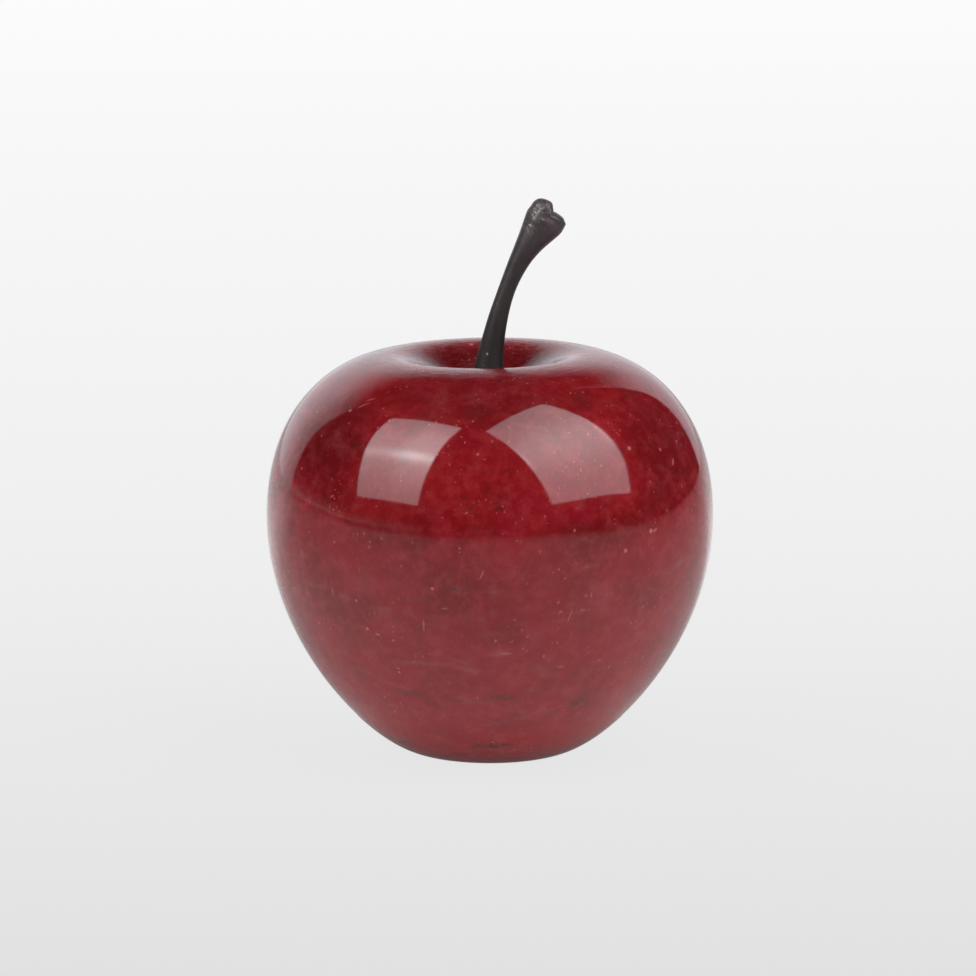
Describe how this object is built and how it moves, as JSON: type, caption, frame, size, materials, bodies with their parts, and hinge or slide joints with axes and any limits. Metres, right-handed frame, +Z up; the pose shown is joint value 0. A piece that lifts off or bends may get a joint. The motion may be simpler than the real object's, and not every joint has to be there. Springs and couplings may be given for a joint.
{
  "type": "ornamental stone apple",
  "caption": "Decorative apple turned from polished red stone, with a bent dark metal stem standing in its dimple; sits on a small flat base as a table ornament or paperweight.",
  "frame": {"origin": "centre of the flat spot that the apple rests on, on the stone's turning axis", "axes": "+Z up along the stone's turning axis; +X towards the side that the stem bends to; -Y towards the viewer who sees the stem bend to the right"},
  "size_m": [0.076, 0.076, 0.0945],
  "materials": {
    "red_stone": "polished",
    "dark_metal": "satin"
  },
  "bodies": {
    "root": {"stone_body": "red_stone", "metal_stem": "dark_metal"}
  },
  "joints": []
}
